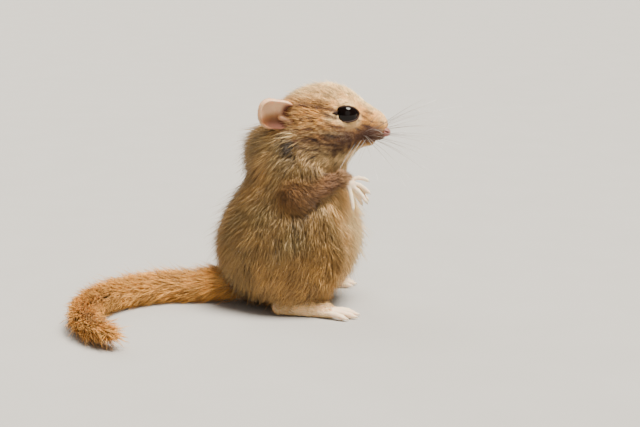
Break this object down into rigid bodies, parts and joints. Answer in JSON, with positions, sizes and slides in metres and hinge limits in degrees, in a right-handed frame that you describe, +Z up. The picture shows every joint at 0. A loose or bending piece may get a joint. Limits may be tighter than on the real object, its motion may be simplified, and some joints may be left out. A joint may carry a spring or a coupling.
{
  "type": "hazel dormouse",
  "caption": "Life-size golden hazel dormouse sitting up on its haunches, head turned a little to its right, one forepaw reaching out and its furry tail curled on the floor.",
  "frame": {"origin": "middle of the flat underside of the rump, where the animal sits on the floor", "axes": "+Z up, +X the way the animal's body faces, +Y towards the animal's left"},
  "size_m": [0.0812, 0.0555, 0.0492],
  "materials": {
    "golden_fur": "matte",
    "pale_fur": "matte",
    "bare_skin": "satin",
    "eye": "gloss"
  },
  "bodies": {
    "root": {"torso": "golden_fur", "neck": "golden_fur", "head": "golden_fur", "muzzle": "golden_fur", "lower_jaw": "pale_fur", "nose": "bare_skin", "eye_right": "eye", "eye_left": "eye", "ear_right": "bare_skin", "ear_left": "bare_skin", "foreleg_right": "golden_fur", "foreleg_left": "golden_fur", "forepaw_right": "pale_fur", "forepaw_left": "pale_fur", "thigh_right": "golden_fur", "thigh_left": "golden_fur", "hindfoot_right": "pale_fur", "hindfoot_left": "pale_fur", "tail_base": "golden_fur", "tail_middle": "golden_fur", "tail_tip": "golden_fur"}
  },
  "joints": []
}
